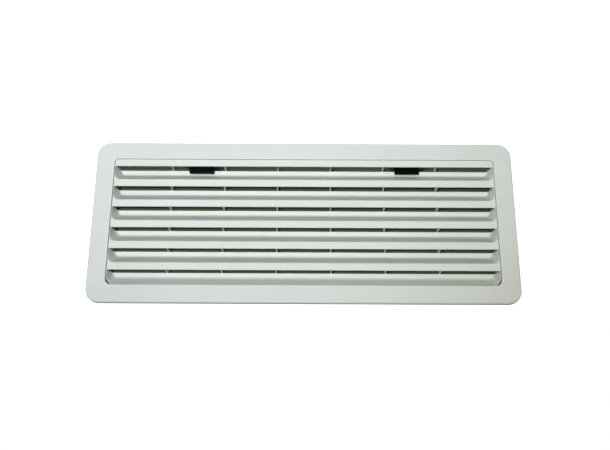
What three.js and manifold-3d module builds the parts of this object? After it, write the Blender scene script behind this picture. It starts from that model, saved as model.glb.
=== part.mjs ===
// Louvred air grille for the refrigerator compartment of a caravan: a mounting frame with a
// collar, a louvre panel hooked into it at the bottom, and two sliding catches at the top.
//
// It lies on its back: +Z is out of the face, +Y is up the wall when fitted, +X is to the right.
// The origin is the middle of the collar's rear rim. Millimetres.

import * as THREE from 'three';
import { mergeVertices } from 'three/addons/utils/BufferGeometryUtils.js';
import Module from 'manifold-3d';

const wasm = await Module();
wasm.setup();

// ---------- driving dimensions ----------

const DEPTH = 30;                   // rear rim of the collar to the face

const FLANGE = { width: 490, height: 195, corner: 16, thickness: 5, edge: 2.6, skin: 2.2, rim: 3.2 };
const OPENING = { width: 447, height: 153, topCorner: 5, bottomCorner: 7 };
const COLLAR_WALL = 1.4;
const FLANGE_RIBS = { acrossLong: 9, acrossShort: 3, thickness: 1.6, height: 2.4 };

const SEAM = 0.5;                   // gap between the panel and the opening
const LOUVRES = 6;
const PITCH = 25.32;
const SLOT = 17.2;                  // height of a slot between two strips
const SHEET = 1.6;                  // wall of the panel's trays, skirt and ribs
const STRIP = 2;                    // wall of the panel's face
const TRAY = { depth: 18, rise: 11.8, top: 18, inset: 3.6, edge: 0.6, corner: 6.7, rearCorner: 6 };
const PANEL_CORNER = { top: 4.6, bottom: 9.5 };
const SKIRT_DEPTH = 8;
const RIB_X = [31.25, 93.75, 156.25];
const RIB = { inset: 0.4, toe: 4, toeHeight: 3, heelHeight: 4 };

const HINGE = { depth: 6.4, lugX: [-156.25, 0, 156.25], lugWidth: 16, lugHeight: 2.8 };
const LIP = { edge: 0.45, wall: 5.6, lead: 0.5, wider: 0.15 };
const RELIEF = { low: 3.5, high: 9.5, below: 2 };
const WINDOW = { side: 0.6, bottom: 18, top: 24.6 };

const CATCH = { outer: 144.2, inner: 95.2, front: 2.9, rear: 16.2, low: 19.2, high: 21.1 };
const THUMB = { outer: 136.2, inner: 107.1, front: 8, thickness: 1.8, low: 11.4, corner: 1.6 };
const RAIL = { front: 4.6, rear: 9.6, low: 21.4, high: 23.2 };
const HOOK = { wall: 1.3, reach: 1.6, top: 24.8, gap: 0.4, stations: [[134, 142], [104, 112]] };
const TONGUE = { outer: 129.5, inner: 118.5, front: 14.4, rear: 16, top: 25.4 };
const KEEPER = { outer: 142.5, inner: 131.5, front: 12, rear: 14, low: 22.4, lead: 0.6 };

const STOP = { protrusion: 1.9, sideLength: 7, topLength: 14, depth: 3, clearance: 0.3, lift: 0.6 };
const STOP_PLACES = { belowStrips: [0, 3], topX: [-200, 0, 200] };
const SCREW = { shank: 1.9, head: 3.7, headHeight: 2.5, length: 14, tip: 3.5, depth: 24, hole: 2.2 };
const RECESS = { length: 4, width: 0.8, depth: 1.3 };
const SCREW_GAP = 0.3;              // between a screw's head and the collar

const ARC_STEPS = 7;                // segments in a quarter of a corner
const OVERLAP = 0.2;                // how far pieces of one moulding run into each other
const BEYOND = 1;                   // how far a cut runs past what it cuts, or a blank past its outline

// ---------- solids ----------

function solid(geometry) {
  const bare = geometry.index ? geometry.toNonIndexed() : geometry;
  bare.deleteAttribute('normal');
  bare.deleteAttribute('uv');
  const merged = mergeVertices(bare, 1e-4);
  return new wasm.Manifold(new wasm.Mesh({
    numProp: 3,
    vertProperties: new Float32Array(merged.attributes.position.array),
    triVerts: new Uint32Array(merged.index.array),
  }));
}

function geometryOf(body) {
  const { vertProperties, triVerts, numProp } = body.getMesh();
  const positions = new Float32Array(triVerts.length * 3);
  triVerts.forEach((vertex, i) => {
    for (let axis = 0; axis < 3; axis++) {
      positions[3 * i + axis] = vertProperties[vertex * numProp + axis];
    }
  });
  const geometry = new THREE.BufferGeometry();
  geometry.setAttribute('position', new THREE.BufferAttribute(positions, 3));
  geometry.computeVertexNormals();
  return geometry;
}

function joined(bodies) {
  return bodies.reduce((sum, body) => sum.add(body));
}

const onBothSides = (body) => body.add(body.mirror([1, 0, 0]));

// A box between two corners, in the object's own axes.
function block([x0, x1], [y0, y1], [z0, z1]) {
  const box = new THREE.BoxGeometry(x1 - x0, y1 - y0, z1 - z0);
  box.translate((x0 + x1) / 2, (y0 + y1) / 2, (z0 + z1) / 2);
  return solid(box);
}

// A rectangle from one corner to the other, its upper and its lower corners rounded or left sharp.
function rounded([x0, x1], [y0, y1], top, bottom = top) {
  const corners = [
    [x1, y0, bottom, -1, 1], [x1, y1, top, -1, -1], [x0, y1, top, 1, -1], [x0, y0, bottom, 1, 1],
  ];
  const shape = new THREE.Shape();
  corners.forEach(([x, y, radius, inX, inY], i) => {
    const from = (i - 1) * Math.PI / 2;
    if (radius > 0) {
      shape.absarc(x + inX * radius, y + inY * radius, radius, from, from + Math.PI / 2, false);
    } else if (i === 0) {
      shape.moveTo(x, y);
    } else {
      shape.lineTo(x, y);
    }
  });
  shape.closePath();
  return shape;
}

function centred(width, height, top, bottom = top) {
  return rounded([-width / 2, width / 2], [-height / 2, height / 2], top, bottom);
}

function prism(shape, z0, z1) {
  const geometry = new THREE.ExtrudeGeometry(shape, {
    depth: z1 - z0, bevelEnabled: false, curveSegments: ARC_STEPS,
  });
  geometry.translate(0, 0, z0);
  return solid(geometry);
}

// A prism whose far end, at z1, is moved by a function of x and y.
function tapered(shape, z0, z1, move) {
  const geometry = new THREE.ExtrudeGeometry(shape, {
    depth: z1 - z0, bevelEnabled: false, curveSegments: ARC_STEPS,
  });
  const place = geometry.attributes.position;
  for (let i = 0; i < place.count; i++) {
    if (place.getZ(i) > (z1 - z0) / 2) {
      const [x, y] = move(place.getX(i), place.getY(i));
      place.setXY(i, x, y);
    }
  }
  geometry.translate(0, 0, z0);
  return solid(geometry);
}

// A profile drawn in (y, z) and carried along x.
function alongX(points, x0, x1) {
  const shape = new THREE.Shape(points.map(([y, z]) => new THREE.Vector2(y, z)));
  const geometry = new THREE.ExtrudeGeometry(shape, { depth: x1 - x0, bevelEnabled: false });
  const turn = new THREE.Matrix4().makeBasis(
    new THREE.Vector3(0, 1, 0), new THREE.Vector3(0, 0, 1), new THREE.Vector3(1, 0, 0),
  );
  geometry.applyMatrix4(turn);
  geometry.translate(x0, 0, 0);
  return solid(geometry);
}

// Heights in a louvre are counted from the lower edge of its slot, depths from the face.
const atDepth = (depth) => DEPTH - depth;
const slotBottom = (louvre) => -OPENING.height / 2 + louvre * PITCH;
const TOP_SLOT = slotBottom(LOUVRES - 1);
const inTopSlot = (height) => TOP_SLOT + height;

const PANEL = {
  side: OPENING.width / 2 - SEAM,
  bottom: -OPENING.height / 2 + SEAM,
  top: OPENING.height / 2 - SEAM,
};

// ---------- mounting frame ----------

function flange() {
  const { width, height, corner, thickness, edge } = FLANGE;
  const plate = new THREE.ExtrudeGeometry(
    centred(width - 2 * edge, height - 2 * edge, corner - edge),
    {
      depth: thickness, bevelEnabled: true, bevelSize: edge, bevelThickness: edge,
      bevelSegments: 4, curveSegments: 2 * ARC_STEPS,
    },
  );
  plate.translate(0, 0, DEPTH - edge - thickness);
  const behind = block([-width, width], [-height, height], [0, DEPTH - thickness]);
  return solid(plate).subtract(behind);
}

function flangeHollow() {
  const { width, height, corner, thickness, skin, rim } = FLANGE;
  const outer = centred(width - 2 * rim, height - 2 * rim, corner - rim);
  return prism(outer, DEPTH - thickness - BEYOND, DEPTH - skin);
}

function flangeRibs() {
  const { width, height, skin, rim } = FLANGE;
  const { acrossLong, acrossShort, thickness, height: ribHeight } = FLANGE_RIBS;
  const span = [DEPTH - skin - ribHeight, DEPTH - skin + OVERLAP];
  const halfWidth = width / 2 - rim + OVERLAP;
  const halfHeight = height / 2 - rim + OVERLAP;
  const ribs = [];
  for (let i = 0; i < acrossLong; i++) {
    const x = ((i + 0.5) / acrossLong - 0.5) * OPENING.width;
    ribs.push(block([x - thickness / 2, x + thickness / 2], [-halfHeight, halfHeight], span));
  }
  for (let i = 0; i < acrossShort; i++) {
    const y = ((i + 0.5) / acrossShort - 0.5) * OPENING.height;
    ribs.push(block([-halfWidth, halfWidth], [y - thickness / 2, y + thickness / 2], span));
  }
  return joined(ribs);
}

function collarOutside() {
  const { width, height, topCorner, bottomCorner } = OPENING;
  const wall = COLLAR_WALL;
  const outline = centred(width + 2 * wall, height + 2 * wall, topCorner + wall, bottomCorner + wall);
  return prism(outline, 0, DEPTH - FLANGE.skin + OVERLAP);
}

function collarInside() {
  const { width, height, topCorner, bottomCorner } = OPENING;
  return prism(centred(width, height, topCorner, bottomCorner), -BEYOND, DEPTH + BEYOND);
}

// Small blocks that the panel's skirt closes against.
function stops() {
  const front = atDepth(SKIRT_DEPTH + STOP.clearance);
  const z = [front - STOP.depth, front];
  const sideWall = OPENING.width / 2;
  const topWall = OPENING.height / 2;
  const blocks = [];
  for (const louvre of STOP_PLACES.belowStrips) {
    const low = slotBottom(louvre) + SLOT + STRIP + STOP.lift;
    const length = [low, low + STOP.sideLength];
    blocks.push(block([sideWall - STOP.protrusion, sideWall + OVERLAP], length, z));
    blocks.push(block([-sideWall - OVERLAP, -sideWall + STOP.protrusion], length, z));
  }
  for (const x of STOP_PLACES.topX) {
    const length = [x - STOP.topLength / 2, x + STOP.topLength / 2];
    blocks.push(block(length, [topWall - STOP.protrusion, topWall + OVERLAP], z));
  }
  return joined(blocks);
}

// Ledges that the catches' tongues slide behind.
function keepers() {
  const wall = OPENING.height / 2 + OVERLAP;
  const low = inTopSlot(KEEPER.low);
  const front = atDepth(KEEPER.front);
  const rear = atDepth(KEEPER.rear);
  const profile = [
    [low, rear + KEEPER.lead], [low + KEEPER.lead, rear], [wall, rear], [wall, front], [low, front],
  ];
  return onBothSides(alongX(profile, KEEPER.inner, KEEPER.outer));
}

function hingeWindows() {
  const half = HINGE.lugWidth / 2 + WINDOW.side;
  const wall = [-OPENING.height / 2 - 2 * COLLAR_WALL, -OPENING.height / 2 + COLLAR_WALL];
  return joined(HINGE.lugX.map((x) => block([x - half, x + half], wall, [WINDOW.bottom, WINDOW.top])));
}

// Where each screw passes through the collar, and the direction it points in.
const SCREW_PLACES = [
  ...[-120, 120].map((x) => ({ x, y: OPENING.height / 2, turn: 0 })),
  { x: OPENING.width / 2, y: 0, turn: -Math.PI / 2 },
  ...[186, 78, -78, -186].map((x) => ({ x, y: -OPENING.height / 2, turn: Math.PI })),
  { x: -OPENING.width / 2, y: 0, turn: Math.PI / 2 },
];

function screwHoles() {
  const length = 6 * COLLAR_WALL;
  return joined(SCREW_PLACES.map(({ x, y, turn }) => {
    const hole = new THREE.CylinderGeometry(SCREW.hole, SCREW.hole, length, 20);
    hole.rotateZ(turn);
    hole.translate(x, y, atDepth(SCREW.depth));
    return solid(hole);
  }));
}

function mountingFrame() {
  return flange()
    .subtract(flangeHollow())
    .add(flangeRibs())
    .add(collarOutside())
    .subtract(collarInside())
    .add(stops())
    .add(keepers())
    .subtract(hingeWindows())
    .subtract(screwHoles());
}

// ---------- louvre panel ----------

function panelOutline() {
  return rounded(
    [-PANEL.side, PANEL.side], [PANEL.bottom, PANEL.top], PANEL_CORNER.top, PANEL_CORNER.bottom,
  );
}

// The outline of a tray at one depth. Grown by a wall it is the outline of the tray's outside.
function traySection(depth, wall) {
  const along = depth / TRAY.depth;
  return {
    depth,
    side: PANEL.side - TRAY.edge - TRAY.inset * along + wall,
    low: TRAY.rise * along - wall,
    high: SLOT + (TRAY.top - SLOT) * along,
    corner: TRAY.corner + (TRAY.rearCorner - TRAY.corner) * along + wall,
  };
}

// A tray is the tapering space between its front and rear outlines, whose upper corners are sharp.
function tray(louvre, front, rear) {
  const shape = rounded([-front.side, front.side], [front.low, front.high], 0, front.corner);
  const move = (x, y) => {
    if (y > front.high - OVERLAP) {
      return [Math.sign(x) * rear.side, rear.high];
    }
    const intoCorner = Math.abs(x) - (front.side - front.corner);
    const belowCorner = front.low + front.corner - y;
    const shrink = rear.corner / front.corner;
    return [
      Math.sign(x) * (rear.side - rear.corner + intoCorner * shrink),
      rear.low + rear.corner - belowCorner * shrink,
    ];
  };
  const space = tapered(shape, front.depth, rear.depth, move);
  return space.mirror([0, 0, 1]).translate([0, slotBottom(louvre), DEPTH]);
}

function trayOutside(louvre) {
  const rear = { ...traySection(TRAY.depth, SHEET), depth: TRAY.depth + SHEET };
  return tray(louvre, traySection(2 * OVERLAP, SHEET), rear);
}

function trayInside(louvre) {
  return tray(louvre, traySection(-BEYOND / 2, 0), traySection(TRAY.depth, 0));
}

// The lowest tray starts behind the opening's edge, so its lower wall rises less steeply.
function lowestTray(wall, rearDepth) {
  const start = traySection(HINGE.depth - LIP.lead, wall + LIP.wider);
  const front = { ...start, low: SEAM + LIP.edge - wall };
  const rear = { ...traySection(TRAY.depth, wall), depth: rearDepth };
  return tray(0, front, rear);
}

function inFrontOfLip(body) {
  const wide = [-OPENING.width, OPENING.width];
  return body.intersect(block(wide, wide, [atDepth(HINGE.depth), DEPTH + BEYOND]));
}

// Everything in the panel is made too large and then trimmed to its outline.
function panelFace() {
  return block(
    [-PANEL.side - BEYOND, PANEL.side + BEYOND], [PANEL.bottom - BEYOND, PANEL.top + BEYOND],
    [atDepth(STRIP), DEPTH + BEYOND],
  );
}

function panelSkirt() {
  const inner = rounded(
    [-PANEL.side + SHEET, PANEL.side - SHEET], [PANEL.bottom + SHEET, PANEL.top - SHEET],
    PANEL_CORNER.top - SHEET, PANEL_CORNER.bottom - SHEET,
  );
  const z = [atDepth(SKIRT_DEPTH), DEPTH - STRIP / 2];
  const full = block(
    [-PANEL.side - BEYOND, PANEL.side + BEYOND], [PANEL.bottom - BEYOND, PANEL.top + BEYOND], z,
  );
  return full.subtract(prism(inner, z[0] - BEYOND, z[1] + BEYOND));
}

function panelRib(x) {
  const deep = atDepth(TRAY.depth + SHEET - RIB.inset);
  const bottom = PANEL.bottom + RIB.inset;
  const top = PANEL.top - RIB.inset;
  const nearTop = PANEL.top - SHEET - STOP.protrusion;
  const skirt = atDepth(SKIRT_DEPTH - RIB.inset);
  const front = DEPTH - RIB.inset;
  const profile = [
    [bottom, deep + RIB.toeHeight], [bottom + RIB.toe, deep], [inTopSlot(TRAY.top) - RIB.inset, deep],
    [nearTop, deep + RIB.heelHeight], [nearTop, skirt], [top, skirt], [top, front], [bottom, front],
  ];
  return alongX(profile, x - SHEET / 2, x + SHEET / 2);
}

// The lowest louvre ends in a lip behind the opening's edge, with a wall turned back from it.
function lowerLip() {
  const z = [atDepth(HINGE.depth + LIP.wall), atDepth(HINGE.depth - BEYOND)];
  const half = PANEL.side - PANEL_CORNER.bottom;
  return block([-half, half], [PANEL.bottom - BEYOND, PANEL.bottom + SHEET], z);
}

// What the panel leaves free so that it can tilt past the opening's lower edge.
function tiltRelief() {
  const lip = atDepth(HINGE.depth);
  const bottom = slotBottom(0);
  const profile = [
    [bottom - RELIEF.below, lip], [bottom + RELIEF.low, lip], [bottom + RELIEF.high, DEPTH],
    [bottom + RELIEF.high, DEPTH + BEYOND], [bottom - RELIEF.below, DEPTH + BEYOND],
  ];
  return alongX(profile, -PANEL.side - BEYOND, PANEL.side + BEYOND);
}

function hingeLugs() {
  const z = [atDepth(HINGE.depth) - HINGE.lugHeight, atDepth(HINGE.depth) - OVERLAP / 2];
  const y = [-OPENING.height / 2 - COLLAR_WALL, PANEL.bottom + OVERLAP];
  return joined(HINGE.lugX.map((x) => block([x - HINGE.lugWidth / 2, x + HINGE.lugWidth / 2], y, z)));
}

function catchRails() {
  const x = [RIB_X[1], RIB_X[2]];
  const y = [inTopSlot(RAIL.low), inTopSlot(RAIL.high)];
  return onBothSides(block(x, y, [atDepth(RAIL.rear), atDepth(RAIL.front)]));
}

function catchNotches() {
  const x = [RIB_X[1] + SHEET / 2, RIB_X[2] - SHEET / 2];
  const y = [inTopSlot(SLOT) + OVERLAP, PANEL.top + BEYOND];
  return onBothSides(block(x, y, [0, atDepth(STRIP)]));
}

function louvrePanel() {
  const upper = [...Array(LOUVRES).keys()].slice(1);
  const ribs = RIB_X.flatMap((x) => [panelRib(x), panelRib(-x)]);
  const walls = joined([
    panelFace(), panelSkirt(), lowerLip(), ...ribs, ...upper.map(trayOutside),
    inFrontOfLip(trayOutside(0)), lowestTray(SHEET, TRAY.depth + SHEET),
  ]);
  const spaces = joined([
    ...upper.map(trayInside), inFrontOfLip(trayInside(0)), lowestTray(0, TRAY.depth),
    catchNotches(), tiltRelief(),
  ]);
  return walls.intersect(prism(panelOutline(), 0, DEPTH))
    .subtract(spaces)
    .add(catchRails())
    .add(hingeLugs());
}

// ---------- sliding catch ----------

// A plan drawn in (x, depth) and raised between two heights in the top slot.
function risen(plan, low, high) {
  const geometry = new THREE.ExtrudeGeometry(plan, {
    depth: high - low, bevelEnabled: false, curveSegments: ARC_STEPS,
  });
  geometry.rotateX(-Math.PI / 2);
  geometry.translate(0, inTopSlot(low), DEPTH);
  return solid(geometry);
}

// The plate slides below the rail: its inner end tapers and its outer end is a rounded wing.
function catchPlate() {
  const { outer, inner, front, rear, low, high } = CATCH;
  const plan = new THREE.Shape();
  plan.moveTo(inner, front);
  plan.lineTo(outer - 2, front);
  plan.quadraticCurveTo(outer, front, outer, front + 2);
  plan.quadraticCurveTo(outer - 1, rear - 3, THUMB.outer, rear);
  plan.lineTo(THUMB.inner, rear);
  plan.lineTo(inner, front + 5);
  plan.closePath();
  return risen(plan, low, high);
}

function thumbTab() {
  const { outer, inner, front, thickness, low, corner } = THUMB;
  const shape = rounded([inner, outer], [inTopSlot(low), inTopSlot(CATCH.low + 1)], 0, corner);
  return prism(shape, atDepth(front + thickness), atDepth(front));
}

// Two pairs of hooks snap over the rail, one on each side of it.
function catchHooks([x0, x1]) {
  const root = inTopSlot(CATCH.high - OVERLAP);
  const under = inTopSlot(RAIL.high + HOOK.gap);
  const top = inTopSlot(HOOK.top);
  const hook = (edge, away) => {
    const face = edge - away * HOOK.gap;
    const points = [
      [root, face], [under, face], [under, face + away * HOOK.reach],
      [top, face], [top, face - away * HOOK.wall], [root, face - away * HOOK.wall],
    ];
    const profile = points.map(([y, depth]) => [y, atDepth(depth)]);
    return alongX(away > 0 ? profile : profile.reverse(), x0, x1);
  };
  return hook(RAIL.front, 1).add(hook(RAIL.rear, -1));
}

function catchTongue() {
  const { outer, inner, front, rear, top } = TONGUE;
  const shape = rounded([inner, outer], [inTopSlot(CATCH.low + 0.5), inTopSlot(top)], 1.2, 0);
  return prism(shape, atDepth(rear), atDepth(front));
}

// Drawn for the right-hand side. The left one is its mirror image.
function catchSlider() {
  return joined([catchPlate(), thumbTab(), ...HOOK.stations.map(catchHooks), catchTongue()]);
}

// ---------- screws ----------

// A pan-head screw along +Y, its head's underside at the origin and its point away from it.
function screw() {
  const { shank, head, headHeight, length, tip } = SCREW;
  const outline = new THREE.Path();
  outline.moveTo(0, -headHeight);
  outline.lineTo(head / 2, -headHeight);
  outline.quadraticCurveTo(head, -headHeight, head, -headHeight / 3);
  outline.lineTo(head, 0);
  outline.lineTo(shank, 0);
  outline.lineTo(shank, length - tip);
  outline.lineTo(0, length);
  const turned = new THREE.LatheGeometry(outline.getPoints(4), 20);
  const body = solid(turned);
  const along = [-RECESS.length / 2, RECESS.length / 2];
  const across = [-RECESS.width / 2, RECESS.width / 2];
  const deep = [-headHeight - BEYOND, -headHeight + RECESS.depth];
  return body.subtract(block(along, deep, across).add(block(across, deep, along)));
}

// ---------- assembly ----------

const shade = (color, roughness) => new THREE.MeshStandardMaterial({ color, roughness, metalness: 0 });
const FRAME_PLASTIC = shade(0xd9dedb, 0.45);
const PANEL_PLASTIC = shade(0xe4e6df, 0.4);
const BLACK_PLASTIC = shade(0x0c0c0d, 0.35);
const STEEL = new THREE.MeshStandardMaterial({ color: 0xb9bcc0, roughness: 0.35, metalness: 1 });

const grille = new THREE.Group();

function place(name, body, material) {
  const mesh = new THREE.Mesh(geometryOf(body), material);
  mesh.name = name;
  grille.add(mesh);
  return mesh;
}

place('mounting_frame', mountingFrame(), FRAME_PLASTIC);
place('louvre_panel', louvrePanel(), PANEL_PLASTIC);
place('catch_slider_right', catchSlider(), BLACK_PLASTIC);
place('catch_slider_left', catchSlider().mirror([1, 0, 0]), BLACK_PLASTIC);

const frameScrew = screw();
SCREW_PLACES.forEach(({ x, y, turn }, i) => {
  const mesh = place(`frame_screw_${i + 1}`, frameScrew, STEEL);
  const inward = new THREE.Vector3(0, -SCREW_GAP, 0).applyAxisAngle(new THREE.Vector3(0, 0, 1), turn);
  mesh.position.set(x + inward.x, y + inward.y, atDepth(SCREW.depth));
  mesh.rotation.z = turn;
});

export default grille;
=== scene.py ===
# A louvred air grille lying on its back on a pale floor, in soft light.
# The mounting frame, louvre panel, sliding catches and screws are finished pieces that stand for
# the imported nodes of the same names. Shapes are worked out in millimetres and made in metres.
import math

import bmesh
import bpy
from mathutils import Matrix, Vector


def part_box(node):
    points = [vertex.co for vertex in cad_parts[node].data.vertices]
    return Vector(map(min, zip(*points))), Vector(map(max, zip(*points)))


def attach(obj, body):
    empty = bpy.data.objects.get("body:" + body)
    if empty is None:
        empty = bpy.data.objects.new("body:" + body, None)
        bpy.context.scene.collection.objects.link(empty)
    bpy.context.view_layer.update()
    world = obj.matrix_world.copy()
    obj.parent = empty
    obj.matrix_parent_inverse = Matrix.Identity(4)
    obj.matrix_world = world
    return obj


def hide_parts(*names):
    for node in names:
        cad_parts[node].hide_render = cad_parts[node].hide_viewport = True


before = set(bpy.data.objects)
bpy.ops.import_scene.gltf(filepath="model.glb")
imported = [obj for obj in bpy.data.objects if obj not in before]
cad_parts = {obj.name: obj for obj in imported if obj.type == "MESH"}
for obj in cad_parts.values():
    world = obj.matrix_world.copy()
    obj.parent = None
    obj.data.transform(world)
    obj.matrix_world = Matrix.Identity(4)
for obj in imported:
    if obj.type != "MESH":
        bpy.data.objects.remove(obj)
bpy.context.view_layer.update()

MM = 0.001
X, Y, Z = 0, 1, 2


def span(node, axis):
    """The lowest and highest place of a node along one axis, in millimetres."""
    low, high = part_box(node)
    return low[axis] / MM, high[axis] / MM


# ---------- sizes, in millimetres ----------

FACE = span("mounting_frame", Z)[1]
FLANGE_X = span("mounting_frame", X)[1]
FLANGE_Y = span("mounting_frame", Y)[1]
PANEL_X = span("louvre_panel", X)[1]
PANEL_Y = span("louvre_panel", Y)[1]

SEAM = 0.5
OPENING_X = PANEL_X + SEAM
OPENING_Y = PANEL_Y + SEAM
OPENING_CORNER = {"low": 7.0, "high": 5.0}
OPENING_EDGE = 1.0
COLLAR = {"wall": 1.4, "edge": 0.4, "fillet": 0.9}
FLANGE = {"corner": 16.0, "thickness": 5.0, "edge": 2.5, "foot": 0.4, "skin": 2.2, "rim": 3.2}
FLANGE_RIBS = {"across_long": 9, "across_short": 3, "thickness": 1.6, "height": 2.4}

LOUVRES = 6
PITCH = 25.32
SLOT = 17.2
SHEET = 1.6
STRIP = 2.0
STRIP_EDGE = 0.6
PANEL_EDGE = 1.1
TRAY = {
    "depth": 18.0, "rise": 11.8, "top": 18.0, "inset": 3.6, "edge": 0.6, "corner": 6.7, "rear_corner": 6.0,
    "fillet": 2.0, "tilt": 0.05, "lower": 0.15, "least_corner": 1.0,
}
PANEL_CORNER = {"low": 9.5, "high": 4.6}
SKIRT_DEPTH = 8.0
RIB_X = (31.25, 93.75, 156.25)
RIB = {"thickness": 1.1, "inset": 0.4, "toe": 4.0, "toe_height": 3.0, "heel_height": 4.0}
HINGE = {"depth": 6.4, "lugs": (-156.25, 0.0, 156.25), "width": 16.0, "height": 2.8}
WINDOW = {"side": 0.6, "low": 18.0, "high": 24.6}
LIP = {"edge": 0.45, "wall": 5.6, "lead": 0.5, "wider": 0.15}
RELIEF = {"low": 3.5, "high": 9.5, "below": 2.0}

CATCH = {
    "outer": 144.2, "inner": 95.2, "front": 2.9, "rear": 16.2, "low": 19.2, "high": 21.1,
    "shoulder": 2.0, "swell": 1.0, "sweep": 3.0, "inner_end": 5.0,
}
THUMB = {
    "outer": 136.2, "inner": 107.1, "front": 8.0, "thickness": 1.8, "low": 11.4, "corner": 0.9, "root": 1.0,
}
RAIL = {"front": 4.6, "rear": 9.6, "low": 21.4, "high": 23.2}
HOOK = {"wall": 1.3, "reach": 1.6, "top": 24.8, "gap": 0.4, "stations": ((134.0, 142.0), (104.0, 112.0))}
TONGUE = {
    "outer": 129.5, "inner": 118.5, "front": 14.4, "rear": 16.0, "top": 25.4, "rise": 0.5, "corner": 1.2,
}
KEEPER = {"outer": 142.5, "inner": 131.5, "front": 12.0, "rear": 14.0, "low": 22.4, "lead": 0.6}
STOP = {"protrusion": 1.9, "side": 7.0, "top": 14.0, "depth": 3.0, "clearance": 0.3, "lift": 0.6}
STOP_STRIPS = (0, 3)
STOP_X = (-200.0, 0.0, 200.0)

SCREW = {
    "shank": 1.55, "thread": 0.35, "pitch": 1.6, "crest": 3.2, "point": 0.05, "length": 14.0,
    "tip": 3.5, "plain": 1.2, "head": 3.7, "head_height": 2.5, "head_edge": 0.25, "head_foot": 0.2,
}
RECESS = {"length": 4.0, "width": 0.8, "depth": 1.3}
SCREW_HOLE = 2.2
HOLE_LENGTH = 8.4

SOFT = {"stop": 0.3, "window": 0.5, "lug": 0.4, "plate": 0.45, "tab": 0.4, "tongue": 0.25}

OVERLAP = 0.2
BEYOND = 1.0
CORNER_STEPS = 10
EDGE_STEPS = 5
FLANGE_STEPS = 8
FILLET_STEPS = 4
HOLE_STEPS = 28
SHARP_ANGLE = math.radians(38)
BEVEL_ANGLE = math.radians(40)
FULL_WEIGHT = 100


def at_depth(depth):
    """The height of a place this far behind the face."""
    return FACE - depth


def slot_bottom(louvre):
    """The lower edge of a louvre's slot. Louvres are counted from the lowest."""
    return -OPENING_Y + louvre * PITCH


def in_top_slot(height):
    """The place of a height measured from the top slot's lower edge."""
    return slot_bottom(LOUVRES - 1) + height


# ---------- mesh tools ----------

def outline(x_span, y_span, low=(0.0, 0), high=(0.0, 0)):
    """Points round a rectangle from its lower right corner, anticlockwise.
    low and high are the radius and the number of steps of its lower and upper corners."""
    (x0, x1), (y0, y1) = x_span, y_span
    corners = [(x1, y0, -1, 1, low), (x1, y1, -1, -1, high), (x0, y1, 1, -1, high), (x0, y0, 1, 1, low)]
    points = []
    for quarter, (x, y, inward_x, inward_y, (radius, steps)) in enumerate(corners):
        for step in range(steps + 1):
            turn = math.radians(90 * (quarter - 1 + (step / steps if steps else 0.5)))
            round_x = radius * (inward_x + math.cos(turn)) if steps else 0.0
            round_y = radius * (inward_y + math.sin(turn)) if steps else 0.0
            points.append((x + round_x, y + round_y))
    return points


def at_height(points, z):
    return [(x, y, z) for x, y in points]


def loft(name, loops, closed=False):
    """A solid through loops of points, capped at its ends or closed into a ring."""
    shape = bmesh.new()
    rows = [[shape.verts.new(Vector(point) * MM) for point in loop] for loop in loops]
    pairs = list(zip(rows, rows[1:]))
    if closed:
        pairs.append((rows[-1], rows[0]))
    else:
        shape.faces.new(rows[0])
        shape.faces.new(rows[-1])
    for first, second in pairs:
        for i in range(len(first)):
            after = (i + 1) % len(first)
            shape.faces.new((first[i], first[after], second[after], second[i]))
    bmesh.ops.recalc_face_normals(shape, faces=shape.faces)
    mesh = bpy.data.meshes.new(name)
    shape.to_mesh(mesh)
    shape.free()
    piece = bpy.data.objects.new(name, mesh)
    bpy.context.collection.objects.link(piece)
    return piece


def along_x(name, profile, x0, x1):
    """A profile drawn in (y, z) and carried along x."""
    return loft(name, [[(x, y, z) for y, z in profile] for x in (x0, x1)])


def brick(name, x_span, y_span, z_span, soft=0.0):
    low_y, high_y = y_span
    low_z, high_z = z_span
    profile = [(low_y, low_z), (high_y, low_z), (high_y, high_z), (low_y, high_z)]
    return soften(along_x(name, profile, *x_span), soft)


def apply_modifiers(piece):
    graph = bpy.context.evaluated_depsgraph_get()
    finished = bpy.data.meshes.new_from_object(piece.evaluated_get(graph))
    piece.modifiers.clear()
    old = piece.data
    piece.data = finished
    bpy.data.meshes.remove(old)
    return piece


def soften(piece, width, segments=2):
    """Rounds the edges of a simple solid."""
    if width > 0:
        bevel = piece.modifiers.new("soft", "BEVEL")
        bevel.width = width * MM
        bevel.segments = segments
        bevel.limit_method = "ANGLE"
        bevel.angle_limit = BEVEL_ANGLE
        apply_modifiers(piece)
    return piece


def combine(target, operation, tools):
    """Joins tools to a solid, or cuts it with them, and removes them."""
    for tool in tools:
        step = target.modifiers.new(operation, "BOOLEAN")
        step.operation = operation
        step.solver = "MANIFOLD"
        step.object = tool
    apply_modifiers(target)
    for tool in tools:
        bpy.data.objects.remove(tool)
    return target


def mirrored(piece, name):
    """A copy on the other side of x = 0."""
    copy = bpy.data.objects.new(name, piece.data.copy())
    bpy.context.collection.objects.link(copy)
    copy.data.transform(Matrix.Scale(-1, 4, (1, 0, 0)))
    copy.data.flip_normals()
    return copy


def on_both_sides(make):
    """The solid that make() gives, and its mirror image across x = 0."""
    right = make()
    return [right, mirrored(right, right.name + "_mirrored")]


def shade(piece):
    """Smooth faces with sharp edges where they meet at more than a small angle."""
    mesh = piece.data
    mesh.polygons.foreach_set("use_smooth", [True] * len(mesh.polygons))
    mesh.set_sharp_from_angle(angle=SHARP_ANGLE)
    weighted = piece.modifiers.new("weighted", "WEIGHTED_NORMAL")
    weighted.keep_sharp = True
    weighted.weight = FULL_WEIGHT
    apply_modifiers(piece)


def finish_piece(piece, name, material, body, node):
    """Names a piece, gives it its material and lets it stand for a node of the frame."""
    shade(piece)
    piece.name = name
    piece.data.name = name
    piece.data.materials.clear()
    piece.data.materials.append(material)
    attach(piece, body)
    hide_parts(node)


# ---------- mounting frame ----------

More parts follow.
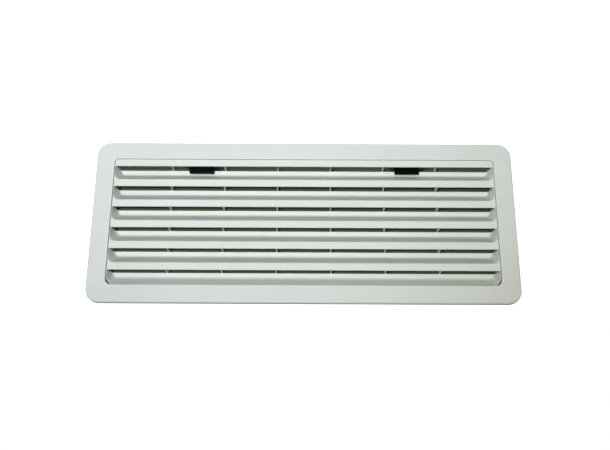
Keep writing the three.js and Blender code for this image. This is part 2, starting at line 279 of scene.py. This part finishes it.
def flange_loop(inset, z):
    """The flange's outline, moved inwards."""
    radius = FLANGE["corner"] - inset
    x, y = FLANGE_X - inset, FLANGE_Y - inset
    corner = (radius, CORNER_STEPS)
    return at_height(outline((-x, x), (-y, y), corner, corner), z)


def opening_loop(outset, z):
    """The opening's outline, moved outwards."""
    x, y = OPENING_X + outset, OPENING_Y + outset
    low = (OPENING_CORNER["low"] + outset, CORNER_STEPS)
    high = (OPENING_CORNER["high"] + outset, CORNER_STEPS)
    return at_height(outline((-x, x), (-y, y), low, high), z)


def quarter_round(radius, steps):
    """How far a rounded edge has moved along and across, from its start to its end."""
    turns = [math.pi / 2 * step / steps for step in range(steps + 1)]
    return [(radius * math.sin(turn), radius * (1 - math.cos(turn))) for turn in turns]


def frame_shell():
    """The flange and the collar, as one section carried round the opening."""
    edge, foot, rim, skin = FLANGE["edge"], FLANGE["foot"], FLANGE["rim"], FLANGE["skin"]
    wall, lip, fillet = COLLAR["wall"], COLLAR["edge"], COLLAR["fillet"]
    back = at_depth(FLANGE["thickness"])
    under = at_depth(skin)
    loops = [opening_loop(0, lip)]
    for along, across in quarter_round(OPENING_EDGE, EDGE_STEPS):
        loops.append(opening_loop(across, FACE - OPENING_EDGE + along))
    for along, across in quarter_round(edge, FLANGE_STEPS):
        loops.append(flange_loop(edge - along, FACE - across))
    loops += [flange_loop(0, back + foot), flange_loop(foot, back), flange_loop(rim - foot, back)]
    loops += [flange_loop(rim, back + foot), flange_loop(rim, under)]
    for along, across in quarter_round(fillet, FILLET_STEPS):
        loops.append(opening_loop(wall + fillet - along, under - across))
    loops += [opening_loop(wall, lip), opening_loop(wall - lip, 0), opening_loop(lip, 0)]
    return loft("frame_shell", loops, closed=True)


def flange_ribs():
    """Short ribs behind the flange, each from the collar to the rim."""
    half = FLANGE_RIBS["thickness"] / 2
    z_span = (at_depth(FLANGE["skin"]) - FLANGE_RIBS["height"], at_depth(FLANGE["skin"]) + OVERLAP)
    wall = COLLAR["wall"] - OVERLAP
    reach_x = (OPENING_X + wall, FLANGE_X - FLANGE["rim"] + OVERLAP)
    reach_y = (OPENING_Y + wall, FLANGE_Y - FLANGE["rim"] + OVERLAP)
    ribs = []
    for i in range(FLANGE_RIBS["across_long"]):
        x = ((i + 0.5) / FLANGE_RIBS["across_long"] - 0.5) * 2 * OPENING_X
        for low, high in (reach_y, (-reach_y[1], -reach_y[0])):
            ribs.append(brick("rib", (x - half, x + half), (low, high), z_span))
    for i in range(FLANGE_RIBS["across_short"]):
        y = ((i + 0.5) / FLANGE_RIBS["across_short"] - 0.5) * 2 * OPENING_Y
        for low, high in (reach_x, (-reach_x[1], -reach_x[0])):
            ribs.append(brick("rib", (low, high), (y - half, y + half), z_span))
    return ribs


def stops():
    """Blocks on the collar's inside that the closed panel comes to rest against."""
    front = at_depth(SKIRT_DEPTH + STOP["clearance"])
    z_span = (front - STOP["depth"], front)
    blocks = []
    for louvre in STOP_STRIPS:
        low = slot_bottom(louvre) + SLOT + STRIP + STOP["lift"]
        reach = (OPENING_X - STOP["protrusion"], OPENING_X + COLLAR["wall"] / 2)
        for x_span in (reach, (-reach[1], -reach[0])):
            blocks.append(brick("stop", x_span, (low, low + STOP["side"]), z_span, SOFT["stop"]))
    for x in STOP_X:
        x_span = (x - STOP["top"] / 2, x + STOP["top"] / 2)
        y_span = (OPENING_Y - STOP["protrusion"], OPENING_Y + COLLAR["wall"] / 2)
        blocks.append(brick("stop", x_span, y_span, z_span, SOFT["stop"]))
    return blocks


def keeper():
    """The shelf behind which a closed catch holds the panel."""
    wall = OPENING_Y + COLLAR["wall"] / 2
    low, lead = in_top_slot(KEEPER["low"]), KEEPER["lead"]
    front, rear = at_depth(KEEPER["front"]), at_depth(KEEPER["rear"])
    profile = [(low, rear + lead), (low + lead, rear), (wall, rear), (wall, front), (low, front)]
    return along_x("keeper", profile, KEEPER["inner"], KEEPER["outer"])


def hinge_windows():
    """Openings in the collar's lower wall for the panel's lugs."""
    half = HINGE["width"] / 2 + WINDOW["side"]
    y_span = (-OPENING_Y - 2 * COLLAR["wall"], -OPENING_Y + COLLAR["wall"])
    z_span = (WINDOW["low"], WINDOW["high"])
    return [brick("window", (x - half, x + half), y_span, z_span, SOFT["window"]) for x in HINGE["lugs"]]


def screw_places():
    """Each screw's node, the middle of its body at rest, and the direction it points in."""
    for name in sorted(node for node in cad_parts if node.startswith("frame_screw")):
        low, high = (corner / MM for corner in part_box(name))
        middle = (low + high) / 2
        if high.x - low.x > high.y - low.y:
            yield name, middle, Vector((math.copysign(1, middle.x), 0, 0))
        else:
            yield name, middle, Vector((0, math.copysign(1, middle.y), 0))


def circle(radius, steps):
    """Points round a circle, from its rightmost point."""
    turns = [2 * math.pi * step / steps for step in range(steps)]
    return [(radius * math.cos(turn), radius * math.sin(turn)) for turn in turns]


def round_bar(name, middle, direction, radius, length):
    """A bar along a horizontal direction, used to cut a hole."""
    side = direction.cross(Vector((0, 0, 1)))
    loops = []
    for end in (-length / 2, length / 2):
        centre = middle + direction * end
        loops.append([centre + side * along + Vector((0, 0, up)) for along, up in circle(radius, HOLE_STEPS)])
    return loft(name, loops)


def screw_holes():
    holes = []
    for name, middle, direction in screw_places():
        through = Vector(middle)
        axis = X if direction.x else Y
        through[axis] = direction[axis] * (OPENING_X if direction.x else OPENING_Y)
        holes.append(round_bar("hole", through, direction, SCREW_HOLE, HOLE_LENGTH))
    return holes


def mounting_frame():
    body = frame_shell()
    combine(body, "UNION", flange_ribs() + stops() + on_both_sides(keeper))
    return combine(body, "DIFFERENCE", hinge_windows() + screw_holes())


# ---------- louvre panel ----------

def tray_section(depth, grow=0.0, wall=0.0):
    """A tray's outline at one depth: its half width, lower and upper edges and lower corners."""
    along = depth / TRAY["depth"]
    corner = TRAY["corner"] + (TRAY["rear_corner"] - TRAY["corner"]) * along + wall + grow
    return {
        "side": PANEL_X - TRAY["edge"] - TRAY["inset"] * along + wall + grow,
        "low": TRAY["rise"] * along - wall - grow,
        "high": SLOT + (TRAY["top"] - SLOT) * along + max(grow, 0.0),
        "corner": max(corner, TRAY["least_corner"]),
    }


def tray_loop(louvre, section, depth):
    """A section placed in the panel. Its depth is less towards the upper edge, as the louvre leans."""
    side, low, high = section["side"], section["low"], section["high"]
    points = outline((-side, side), (low, high), low=(section["corner"], CORNER_STEPS))
    base = slot_bottom(louvre)
    return [
        (x, base + y, at_depth(depth * (1 - TRAY["tilt"] * (y - low) / (high - low)))) for x, y in points
    ]


def tray_outside(louvre):
    loops = []
    for depth in (2 * OVERLAP, TRAY["depth"]):
        section = tray_section(depth, wall=SHEET)
        section["high"] -= TRAY["lower"]
        shift = SHEET if depth == TRAY["depth"] else 0.0
        loops.append(tray_loop(louvre, section, depth + shift))
    return loft("tray_outside", loops)


def rear_loops(louvre, sections):
    """The rounded rear edge of a tray's inside."""
    fillet = TRAY["fillet"]
    loops = []
    for along, across in quarter_round(fillet, EDGE_STEPS):
        depth = TRAY["depth"] - fillet + along
        loops.append(tray_loop(louvre, sections(depth, -across), depth))
    return loops


def tray_inside(louvre):
    loops = [tray_loop(louvre, tray_section(0, STRIP_EDGE), -BEYOND / 2)]
    for along, across in reversed(quarter_round(STRIP_EDGE, EDGE_STEPS)):
        depth = STRIP_EDGE - along
        loops.append(tray_loop(louvre, tray_section(depth, across), depth))
    return loft("tray_inside", loops + rear_loops(louvre, tray_section))


def lowest_section(depth, grow=0.0, wall=0.0):
    """The lowest tray starts behind the opening's edge, so its lower wall rises less steeply."""
    start = HINGE["depth"] - LIP["lead"]
    along = (depth - start) / (TRAY["depth"] - start)
    section = tray_section(depth, grow, wall + LIP["wider"] * (1 - along))
    first = SEAM + LIP["edge"]
    section["low"] = first + (TRAY["rise"] - first) * along - wall - grow
    return section


def lowest_outside():
    start = HINGE["depth"] - LIP["lead"]
    loops = []
    for depth, shift in ((start, 0.0), (TRAY["depth"], SHEET)):
        section = lowest_section(depth, wall=SHEET)
        section["high"] -= TRAY["lower"]
        loops.append(tray_loop(0, section, depth + shift))
    return loft("tray_outside", loops)


def lowest_inside():
    start = HINGE["depth"] - LIP["lead"] - OVERLAP
    loops = [tray_loop(0, lowest_section(start), start)]
    return loft("tray_inside", loops + rear_loops(0, lowest_section))


def in_front_of_lip(body):
    """The part of a solid that is in front of the lower lip."""
    wide = (-OPENING_X, OPENING_X)
    z_span = (at_depth(HINGE["depth"]), FACE + 2 * BEYOND)
    return combine(body, "INTERSECT", [brick("front", wide, wide, z_span)])


def panel_loop(outset, z):
    x, low = PANEL_X + outset, -OPENING_Y + SEAM - outset
    corners = [(PANEL_CORNER[end] + outset, CORNER_STEPS) for end in ("low", "high")]
    return at_height(outline((-x, x), (low, PANEL_Y + outset), *corners), z)


def panel_room():
    """The outline that the panel is trimmed to, with a rounded edge at the face."""
    loops = [panel_loop(0, 0)]
    for along, across in quarter_round(PANEL_EDGE, EDGE_STEPS):
        loops.append(panel_loop(-across, FACE - PANEL_EDGE + along))
    return loft("room", loops)


def panel_lid():
    """The face with its skirt, made too large."""
    skirt, under = at_depth(SKIRT_DEPTH), at_depth(STRIP)
    loops = [
        panel_loop(BEYOND, FACE + BEYOND), panel_loop(BEYOND, skirt), panel_loop(-SHEET, skirt),
        panel_loop(-SHEET, under),
    ]
    return loft("lid", loops)


def panel_rib(x):
    """A thin upright wall through all the louvres."""
    deep = at_depth(TRAY["depth"] + SHEET - RIB["inset"])
    bottom = -OPENING_Y + SEAM + RIB["inset"]
    top = PANEL_Y - RIB["inset"]
    near_top = PANEL_Y - SHEET - STOP["protrusion"]
    skirt = at_depth(SKIRT_DEPTH - RIB["inset"])
    front = FACE - RIB["inset"]
    profile = [
        (bottom, deep + RIB["toe_height"]), (bottom + RIB["toe"], deep),
        (in_top_slot(TRAY["top"]) - RIB["inset"], deep), (near_top, deep + RIB["heel_height"]),
        (near_top, skirt), (top, skirt), (top, front), (bottom, front),
    ]
    return along_x("rib", profile, x - RIB["thickness"] / 2, x + RIB["thickness"] / 2)


def lower_lip():
    """The panel's lower edge, which lies behind the face and carries the lugs."""
    half = PANEL_X - PANEL_CORNER["low"]
    y_span = (-OPENING_Y + SEAM - BEYOND, -OPENING_Y + SEAM + SHEET)
    z_span = (at_depth(HINGE["depth"] + LIP["wall"]), at_depth(HINGE["depth"] - BEYOND))
    return brick("lip", (-half, half), y_span, z_span)


def tilt_relief():
    """The room cut in front of the lower lip, so that the panel can tilt out."""
    lip, bottom, out = at_depth(HINGE["depth"]), slot_bottom(0), FACE + 2 * BEYOND
    low, high, below = bottom + RELIEF["low"], bottom + RELIEF["high"], bottom - RELIEF["below"]
    profile = [(below, lip), (low, lip), (high, FACE), (high, out), (below, out)]
    return along_x("relief", profile, -PANEL_X - BEYOND, PANEL_X + BEYOND)


def hinge_lugs():
    z_span = (at_depth(HINGE["depth"]) - HINGE["height"], at_depth(HINGE["depth"]) - OVERLAP / 2)
    y_span = (-OPENING_Y - COLLAR["wall"], -OPENING_Y + SEAM + SHEET / 2)
    half = HINGE["width"] / 2
    return [brick("lug", (x - half, x + half), y_span, z_span, SOFT["lug"]) for x in HINGE["lugs"]]


def catch_rail():
    """The rail between two ribs that a catch slides on."""
    y_span = (in_top_slot(RAIL["low"]), in_top_slot(RAIL["high"]))
    return brick("rail", RIB_X[1:], y_span, (at_depth(RAIL["rear"]), at_depth(RAIL["front"])))


def catch_notch():
    """The room cut behind the top strip for a catch."""
    x_span = (RIB_X[1] + SHEET / 2, RIB_X[2] - SHEET / 2)
    y_span = (in_top_slot(SLOT) + STRIP_EDGE, PANEL_Y + BEYOND)
    return brick("notch", x_span, y_span, (0, at_depth(STRIP)))


def louvre_panel():
    body = panel_lid()
    upper = range(1, LOUVRES)
    ribs = [panel_rib(side * x) for x in RIB_X for side in (1, -1)]
    combine(body, "UNION", ribs + [tray_outside(louvre) for louvre in upper])
    combine(body, "UNION", [in_front_of_lip(tray_outside(0)), lowest_outside(), lower_lip()])
    combine(body, "INTERSECT", [panel_room()])
    combine(body, "DIFFERENCE", [tray_inside(louvre) for louvre in upper])
    combine(body, "DIFFERENCE", [in_front_of_lip(tray_inside(0)), lowest_inside(), tilt_relief()])
    combine(body, "DIFFERENCE", on_both_sides(catch_notch))
    return combine(body, "UNION", on_both_sides(catch_rail) + hinge_lugs())


# ---------- sliding catch, drawn for the right-hand side ----------

def raised(name, plan, low, high):
    """A plan drawn in (x, depth) and raised between two heights in the top slot."""
    loops = [[(x, in_top_slot(height), at_depth(depth)) for x, depth in plan] for height in (low, high)]
    return loft(name, loops)


def curve_points(start, control, end, steps=8):
    """Points on a quadratic curve after its start."""
    points = []
    for step in range(1, steps + 1):
        t = step / steps
        points.append(tuple(
            (1 - t) ** 2 * a + 2 * t * (1 - t) * b + t ** 2 * c for a, b, c in zip(start, control, end)
        ))
    return points


def catch_plate():
    outer, inner, front, rear = CATCH["outer"], CATCH["inner"], CATCH["front"], CATCH["rear"]
    before = (outer - CATCH["shoulder"], front)
    shoulder = (outer, front + CATCH["shoulder"])
    plan = [(inner, front), before]
    plan += curve_points(before, (outer, front), shoulder)
    plan += curve_points(shoulder, (outer - CATCH["swell"], rear - CATCH["sweep"]), (THUMB["outer"], rear))
    plan += [(THUMB["inner"], rear), (inner, front + CATCH["inner_end"])]
    return soften(raised("plate", plan, CATCH["low"], CATCH["high"]), SOFT["plate"], segments=3)


def thumb_tab():
    """The tab that a thumb slides the catch by."""
    x_span = (THUMB["inner"], THUMB["outer"])
    y_span = (in_top_slot(THUMB["low"]), in_top_slot(CATCH["low"] + THUMB["root"]))
    points = outline(x_span, y_span, low=(THUMB["corner"], EDGE_STEPS))
    front, rear = at_depth(THUMB["front"]), at_depth(THUMB["front"] + THUMB["thickness"])
    return soften(loft("tab", [at_height(points, rear), at_height(points, front)]), SOFT["tab"], segments=3)


def catch_hook(edge, away, x_span):
    """A hook round one edge of the rail, in front of it or behind it."""
    root = in_top_slot(CATCH["high"] - OVERLAP)
    under = in_top_slot(RAIL["high"] + HOOK["gap"])
    top = in_top_slot(HOOK["top"])
    face = edge - away * HOOK["gap"]
    points = [
        (root, face), (under, face), (under, face + away * HOOK["reach"]),
        (top, face + away * HOOK["reach"] / 2), (top, face - away * HOOK["wall"]),
        (root, face - away * HOOK["wall"]),
    ]
    return along_x("hook", [(y, at_depth(depth)) for y, depth in points], *x_span)


def catch_tongue():
    """The end that slides behind the keeper."""
    x_span = (TONGUE["inner"], TONGUE["outer"])
    y_span = (in_top_slot(CATCH["low"] + TONGUE["rise"]), in_top_slot(TONGUE["top"]))
    points = outline(x_span, y_span, high=(TONGUE["corner"], FILLET_STEPS))
    rear, front = at_depth(TONGUE["rear"]), at_depth(TONGUE["front"])
    return soften(loft("tongue", [at_height(points, rear), at_height(points, front)]), SOFT["tongue"])


def catch_slider():
    hooks = []
    for station in HOOK["stations"]:
        hooks += [catch_hook(RAIL["front"], 1, station), catch_hook(RAIL["rear"], -1, station)]
    return combine(catch_plate(), "UNION", [thumb_tab(), catch_tongue()] + hooks)


# ---------- screws ----------

def threaded_shank(steps=24, rows_per_turn=8):
    """The shank with a helical thread that fades out at the head and at the point."""
    length, pitch, plain = SCREW["length"], SCREW["pitch"], SCREW["plain"]
    rows = round((length - plain) / pitch * rows_per_turn)
    loops = [[(x, -OVERLAP, z) for x, z in circle(SCREW["shank"], steps)]]
    for row in range(rows + 1):
        place = plain + (length - plain) * row / rows
        core = SCREW["shank"] * min(1, (length - place) / SCREW["tip"]) + SCREW["point"]
        fade = max(0, min(1, (place - plain) / pitch, (length - place) / pitch))
        loop = []
        for step, (x, z) in enumerate(circle(1, steps)):
            phase = (place / pitch - step / steps) % 1
            crest = max(0, 1 - abs(phase - 1 / 2) * SCREW["crest"])
            radius = core + SCREW["thread"] * crest * fade
            loop.append((radius * x, place, radius * z))
        loops.append(loop)
    return loft("shank", loops)


def pan_head(steps=36):
    """The head as a turned profile, straight for a third of its height and then domed."""
    head, height = SCREW["head"], SCREW["head_height"]
    side = (head, -height / 3)
    profile = [(head - SCREW["head_edge"], 0), (head, -SCREW["head_foot"]), side]
    profile += curve_points(side, (head, -height), (head / 2, -height), steps=6)
    profile += [(head / 8, -height)]
    return loft("head", [[(x, place, z) for x, z in circle(radius, steps)] for radius, place in profile])


def screw():
    """A pan-head screw along +Y with its head's underside at the origin."""
    body = combine(pan_head(), "UNION", [threaded_shank()])
    deep = (-SCREW["head_height"] - BEYOND, -SCREW["head_height"] + RECESS["depth"])
    long = (-RECESS["length"] / 2, RECESS["length"] / 2)
    thin = (-RECESS["width"] / 2, RECESS["width"] / 2)
    recess = [brick("recess", long, deep, thin), brick("recess", thin, deep, long)]
    return combine(body, "DIFFERENCE", recess)


# ---------- materials ----------

RAMP_SPAN = (0.35, 0.65)
NOISE_SPAN = (0.3, 0.7)
PLASTICS = {
    "frame_plastic": {
        "tint": (0.530, 0.558, 0.551), "darker": 0.96, "roughness": (0.44, 0.56), "grain": 1500, "sheen": 0.4,
    },
    "panel_plastic": {
        "tint": (0.555, 0.584, 0.562), "darker": 0.96, "roughness": (0.46, 0.58), "grain": 1500, "sheen": 0.3,
    },
    "catch_plastic": {
        "tint": (0.0012, 0.0014, 0.0012), "darker": 0.6, "roughness": (0.3, 0.42), "grain": 1200,
        "sheen": 0.08,
    },
}
# A noise is its scale and detail, and a bump is its depth in millimetres and its strength.
MOULDED = {
    "tone": (14, 4), "gloss": (60, 4), "waves": (22, 1), "wave_bump": (0.25, 0.12),
    "grain_detail": 2, "grain_roughness": 0.6, "grain_bump": (0.03, 0.35), "ior": 1.49,
}
ZINC = {
    "tone": (350, 3), "dark": (0.50, 0.51, 0.52), "light": (0.68, 0.69, 0.71), "gloss": (500, 3),
    "roughness": (0.25, 0.42), "grain": (900, 2), "grain_bump": (0.02, 0.3),
}
PAPER = {"roughness": 0.95, "sheen": 0.1}


def node_tree(material):
    material.use_nodes = True
    tree = material.node_tree
    return tree, tree.nodes["Principled BSDF"]


def noise(tree, scale, detail, roughness=0.5):
    place = tree.nodes.new("ShaderNodeTexCoord")
    node = tree.nodes.new("ShaderNodeTexNoise")
    node.inputs["Scale"].default_value = scale
    node.inputs["Detail"].default_value = detail
    node.inputs["Roughness"].default_value = roughness
    tree.links.new(place.outputs["Object"], node.inputs["Vector"])
    return node.outputs["Fac"]


def ramp(tree, source, low, high):
    node = tree.nodes.new("ShaderNodeValToRGB")
    for element, place, colour in zip(node.color_ramp.elements, RAMP_SPAN, (low, high)):
        element.position = place
        element.color = (*colour, 1)
    tree.links.new(source, node.inputs["Fac"])
    return node.outputs["Color"]


def stretch(tree, source, low, high):
    node = tree.nodes.new("ShaderNodeMapRange")
    node.inputs["From Min"].default_value, node.inputs["From Max"].default_value = NOISE_SPAN
    node.inputs["To Min"].default_value = low
    node.inputs["To Max"].default_value = high
    tree.links.new(source, node.inputs["Value"])
    return node.outputs["Result"]


def bump(tree, source, depth, strength, before=None):
    node = tree.nodes.new("ShaderNodeBump")
    node.inputs["Distance"].default_value = depth * MM
    node.inputs["Strength"].default_value = strength
    tree.links.new(source, node.inputs["Height"])
    if before:
        tree.links.new(before, node.inputs["Normal"])
    return node.outputs["Normal"]


def moulded_plastic(name):
    """Plastic with a fine spark-eroded grain, slow waves from cooling and a little uneven tone."""
    look = PLASTICS[name]
    material = bpy.data.materials.new(name)
    tree, shader = node_tree(material)
    darker = tuple(part * look["darker"] for part in look["tint"])
    colour = ramp(tree, noise(tree, *MOULDED["tone"]), darker, look["tint"])
    tree.links.new(colour, shader.inputs["Base Color"])
    gloss = stretch(tree, noise(tree, *MOULDED["gloss"]), *look["roughness"])
    tree.links.new(gloss, shader.inputs["Roughness"])
    waves = bump(tree, noise(tree, *MOULDED["waves"]), *MOULDED["wave_bump"])
    grain = noise(tree, look["grain"], MOULDED["grain_detail"], MOULDED["grain_roughness"])
    fine = bump(tree, grain, *MOULDED["grain_bump"], before=waves)
    tree.links.new(fine, shader.inputs["Normal"])
    shader.inputs["IOR"].default_value = MOULDED["ior"]
    shader.inputs["Specular IOR Level"].default_value = look["sheen"]
    return material


def zinc_steel():
    """Bright zinc plating with a fine uneven gloss."""
    material = bpy.data.materials.new("zinc_steel")
    tree, shader = node_tree(material)
    colour = ramp(tree, noise(tree, *ZINC["tone"]), ZINC["dark"], ZINC["light"])
    tree.links.new(colour, shader.inputs["Base Color"])
    gloss = stretch(tree, noise(tree, *ZINC["gloss"]), *ZINC["roughness"])
    tree.links.new(gloss, shader.inputs["Roughness"])
    fine = bump(tree, noise(tree, *ZINC["grain"]), *ZINC["grain_bump"])
    tree.links.new(fine, shader.inputs["Normal"])
    shader.inputs["Metallic"].default_value = 1
    return material


def stage_material(name, tone, seen_white=False):
    """Matt paper. A backdrop seen as plain white still bounces only the light of its tone."""
    material = bpy.data.materials.new(name)
    tree, shader = node_tree(material)
    shader.inputs["Base Color"].default_value = (*tone, 1)
    shader.inputs["Roughness"].default_value = PAPER["roughness"]
    shader.inputs["Specular IOR Level"].default_value = PAPER["sheen"]
    shader.inputs["Emission Color"].default_value = (1, 1, 1, 1)
    if seen_white:
        path = tree.nodes.new("ShaderNodeLightPath")
        tree.links.new(path.outputs["Is Camera Ray"], shader.inputs["Emission Strength"])
    return material


# ---------- camera, light and stage ----------

# The camera's angles are in degrees, and its distance and target in millimetres.
CAMERA = {
    "azimuth": -0.02, "elevation": 71.33, "roll": 0.27, "distance": 925.9,
    "target": (1.37, -5.52, 30.0), "lens": 47.51, "sensor": 36.0, "near": 10.0,
}

# Lamp places and sizes are in metres, and cones in degrees.
SPOTS = {
    "key": {
        "place": (-0.20, -0.35, 1.45), "target": (-0.10, 0.40, 0.03), "cone": 63, "radius": 0.12,
        "power": 120, "colour": (0.985, 1.0, 1.0),
    },
    "fill": {
        "place": (0.45, -0.10, 1.25), "target": (0.32, -0.16, 0.03), "cone": 44, "radius": 0.30,
        "power": 11.5, "colour": (1.0, 0.94, 0.38),
    },
}
SOFT_BOXES = {
    "behind": {"place": (0.0, 1.7, 0.30), "size": (1.6, 0.5), "power": 10},
    "left": {"place": (-1.8, 0.2, 0.30), "size": (1.2, 0.5), "power": 8},
    "right": {"place": (1.8, 0.2, 0.30), "size": (1.2, 0.5), "power": 8},
    "front": {"place": (0.0, -1.8, 0.25), "size": (1.6, 0.4), "power": 2},
}
BOX_TARGET = (0, 0, 0.02)
AIR = {"colour": (0.95, 0.98, 1.0), "light": 0.035, "seen": 1.1}
FLOOR = {"half": 6000, "height": -0.3, "tone": (0.5, 0.5, 0.49)}
FLAG = {"half": 400, "near": -500, "height": -0.2, "tone": (0.03, 0.03, 0.03)}
# The dark olive tone of the sheet under the louvres is painted shade: the shade seen through their gaps.
SHADE_CARD = {"height": -0.1, "tone": (0.09, 0.10, 0.065)}


def aim(thing, place, target, roll=0.0):
    """Puts a camera or lamp at a place, looking at a target."""
    turn = (Vector(target) - Vector(place)).to_track_quat("-Z", "Y")
    thing.matrix_world = (
        Matrix.Translation(Vector(place)) @ turn.to_matrix().to_4x4() @ Matrix.Rotation(roll, 4, "Z")
    )


def place_camera():
    azimuth, elevation = math.radians(CAMERA["azimuth"]), math.radians(CAMERA["elevation"])
    away = Vector((
        math.cos(elevation) * math.sin(azimuth),
        -math.cos(elevation) * math.cos(azimuth),
        math.sin(elevation),
    ))
    target = Vector(CAMERA["target"]) * MM
    camera = bpy.data.objects.new("camera", bpy.data.cameras.new("camera"))
    bpy.context.collection.objects.link(camera)
    camera.data.lens = CAMERA["lens"]
    camera.data.sensor_width = CAMERA["sensor"]
    camera.data.clip_start = CAMERA["near"] * MM
    aim(camera, target + away * CAMERA["distance"] * MM, target, math.radians(CAMERA["roll"]))
    bpy.context.scene.camera = camera


def spot_light(name, place, target, cone, radius, power, colour):
    """A soft-edged lamp, strongest where it points."""
    light = bpy.data.lights.new(name, "SPOT")
    light.spot_size = math.radians(cone)
    light.spot_blend = 1.0
    light.shadow_soft_size = radius
    light.energy = power
    light.color = colour
    lamp = bpy.data.objects.new(name, light)
    bpy.context.collection.objects.link(lamp)
    aim(lamp, place, target)


def soft_box(name, place, size, power):
    """A large soft lamp turned to the object."""
    light = bpy.data.lights.new(name, "AREA")
    light.shape = "RECTANGLE"
    light.size, light.size_y = size
    light.energy = power
    lamp = bpy.data.objects.new(name, light)
    bpy.context.collection.objects.link(lamp)
    aim(lamp, place, BOX_TARGET)


def light_scene():
    for name, lamp in SPOTS.items():
        spot_light(name, **lamp)
    for name, lamp in SOFT_BOXES.items():
        soft_box(name, **lamp)
    world = bpy.data.worlds.new("studio")
    bpy.context.scene.world = world
    world.use_nodes = True
    background = world.node_tree.nodes["Background"]
    background.inputs["Color"].default_value = (*AIR["colour"], 1)
    path = world.node_tree.nodes.new("ShaderNodeLightPath")
    seen = world.node_tree.nodes.new("ShaderNodeMapRange")
    seen.inputs["To Min"].default_value = AIR["light"]
    seen.inputs["To Max"].default_value = AIR["seen"]
    world.node_tree.links.new(path.outputs["Is Camera Ray"], seen.inputs["Value"])
    world.node_tree.links.new(seen.outputs["Result"], background.inputs["Strength"])
    bpy.context.scene.view_settings.view_transform = "Standard"


def sheet_of(name, x_span, y_span, z, material):
    """A flat piece of the stage."""
    mesh = bpy.data.meshes.new(name)
    (x0, x1), (y0, y1) = x_span, y_span
    corners = [(x0, y0, z), (x1, y0, z), (x1, y1, z), (x0, y1, z)]
    mesh.from_pydata([Vector(corner) * MM for corner in corners], [], [(0, 1, 2, 3)])
    mesh.materials.append(material)
    piece = bpy.data.objects.new(name, mesh)
    bpy.context.collection.objects.link(piece)


def set_stage():
    """A pale floor, with a dark sheet on it behind the louvres, painted shade for the dark behind a fitted
    grille, and a flag in front that bounces little light, so that the flange's near edge stays dark."""
    wide = (-FLOOR["half"], FLOOR["half"])
    floor = stage_material("floor", FLOOR["tone"], seen_white=True)
    sheet_of("floor", wide, wide, FLOOR["height"], floor)
    flag = stage_material("flag", FLAG["tone"], seen_white=True)
    y_span = (FLAG["near"], -FLANGE_Y + FLANGE["rim"])
    sheet_of("flag", (-FLAG["half"], FLAG["half"]), y_span, FLAG["height"], flag)
    under = COLLAR["wall"] / 2
    reach_x, reach_y = OPENING_X + under, OPENING_Y + under
    # Painted shade: a dark sheet under the louvres stands in for the shade seen through their gaps.
    shade_card = stage_material("shade_card", SHADE_CARD["tone"])
    sheet_of("shade_card", (-reach_x, reach_x), (-reach_y, reach_y), SHADE_CARD["height"], shade_card)


# ---------- assembly ----------

def build():
    frame_plastic, panel_plastic, catch_plastic = (moulded_plastic(name) for name in PLASTICS)
    steel = zinc_steel()
    finish_piece(
        mounting_frame(), "frame_moulding", frame_plastic, "mounting_frame", "mounting_frame"
    )
    finish_piece(
        louvre_panel(), "panel_moulding", panel_plastic, "louvre_panel", "louvre_panel"
    )
    right = catch_slider()
    left = mirrored(right, "left")
    finish_piece(right, "catch_right", catch_plastic, "catch_right", "catch_slider_right")
    finish_piece(left, "catch_left", catch_plastic, "catch_left", "catch_slider_left")
    pattern = screw()
    for name, middle, direction in screw_places():
        piece = bpy.data.objects.new(name, pattern.data.copy())
        bpy.context.collection.objects.link(piece)
        turn = Vector((0, 1, 0)).rotation_difference(direction).to_matrix().to_4x4()
        origin = middle - direction * (SCREW["length"] - SCREW["head_height"]) / 2
        piece.data.transform(Matrix.Translation(origin * MM) @ turn)
        finish_piece(piece, "detailed_" + name, steel, "mounting_frame", name)
    bpy.data.objects.remove(pattern)


place_camera()
light_scene()
set_stage()
build()
